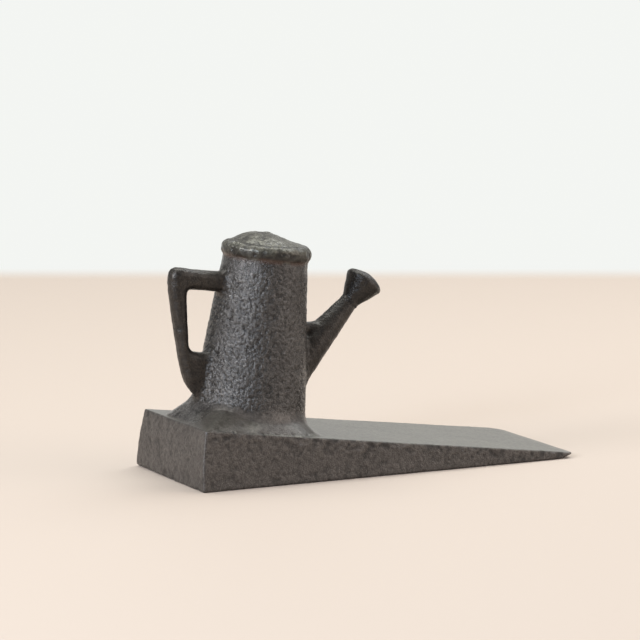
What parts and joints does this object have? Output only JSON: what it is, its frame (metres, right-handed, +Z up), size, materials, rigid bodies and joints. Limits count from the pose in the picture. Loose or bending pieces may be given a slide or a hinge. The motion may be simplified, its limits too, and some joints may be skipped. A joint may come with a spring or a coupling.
{
  "type": "door stop",
  "caption": "Cast-iron wedge door stop with a small watering can on its ramp; the thin tip slides under a door and the can is the grip.",
  "frame": {"origin": "centre of the flat underside, on the floor plane", "axes": "+X along the wedge from the tall heel to the thin tip, +Y across it, +Z up"},
  "size_m": [0.1453, 0.055, 0.0846],
  "materials": {
    "iron_wedge": "satin lacquer over sand-cast iron, brown-grey",
    "iron_can": "satin lacquer over pebbly sand-cast iron, dark grey",
    "iron_trim": "satin lacquer over rubbed cast iron, near black brown"
  },
  "bodies": {
    "root": {"wedge": "iron_wedge", "can_foot": "iron_wedge", "can_body": "iron_can", "can_rim": "iron_can", "can_lid": "iron_can", "handle": "iron_trim", "spout": "iron_trim", "spout_rose": "iron_trim"}
  },
  "joints": []
}
